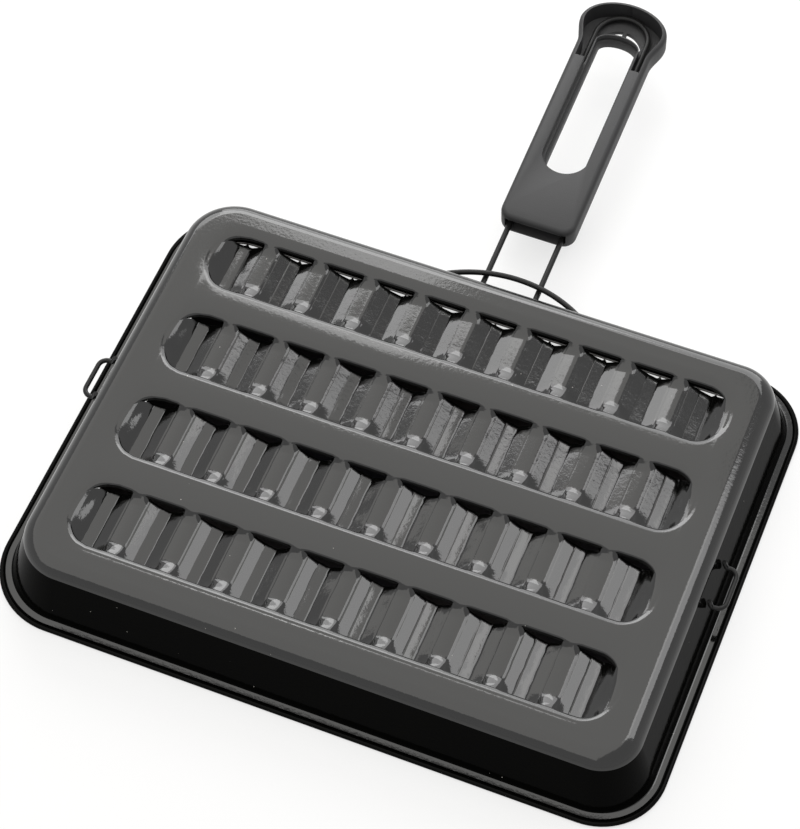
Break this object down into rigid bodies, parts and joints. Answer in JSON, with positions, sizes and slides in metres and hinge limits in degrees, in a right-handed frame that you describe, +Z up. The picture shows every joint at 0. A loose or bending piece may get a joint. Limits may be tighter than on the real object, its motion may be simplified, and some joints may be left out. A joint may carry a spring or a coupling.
{
  "type": "stovetop grill net",
  "caption": "Rectangular black enamelled stovetop grill with waved, slotted troughs over a heat net, wire loops and a draw-out grip handle.",
  "frame": {"origin": "centre of the plate's flat top face", "axes": "+X along the plate's long side, +Y towards the handle, +Z up out of the cooking face"},
  "size_m": [0.273, 0.36, 0.0295],
  "materials": {
    "black_enamel": "gloss black vitreous enamel on pressed steel, slightly wavy",
    "black_wire": "black coated round steel wire, semi-gloss",
    "net_steel": "plain steel mesh and binding strip",
    "heat_sheet_steel": "heat-darkened steel sheet",
    "grip_plastic": "dark grey heat-resistant moulding with a fine grain"
  },
  "bodies": {
    "base": {"base_ring": "black_enamel", "net_binding": "net_steel", "heat_net": "net_steel", "heat_sheet": "heat_sheet_steel"},
    "plate": {"grill_plate": "black_enamel", "side_loop_left": "black_wire", "side_loop_right": "black_wire", "rear_loop": "black_wire"},
    "handle": {"handle_wire": "black_wire", "handle_grip": "grip_plastic"}
  },
  "joints": [
    {"name": "plate_lift", "type": "slide", "parent": "base", "child": "plate", "axis": [0, 0, 1], "range_m": [0, 0.06]},
    {"name": "handle_draw", "type": "slide", "parent": "plate", "child": "handle", "axis": [0, 0.9976, 0.0698], "range_m": [0, 0.045]}
  ]
}
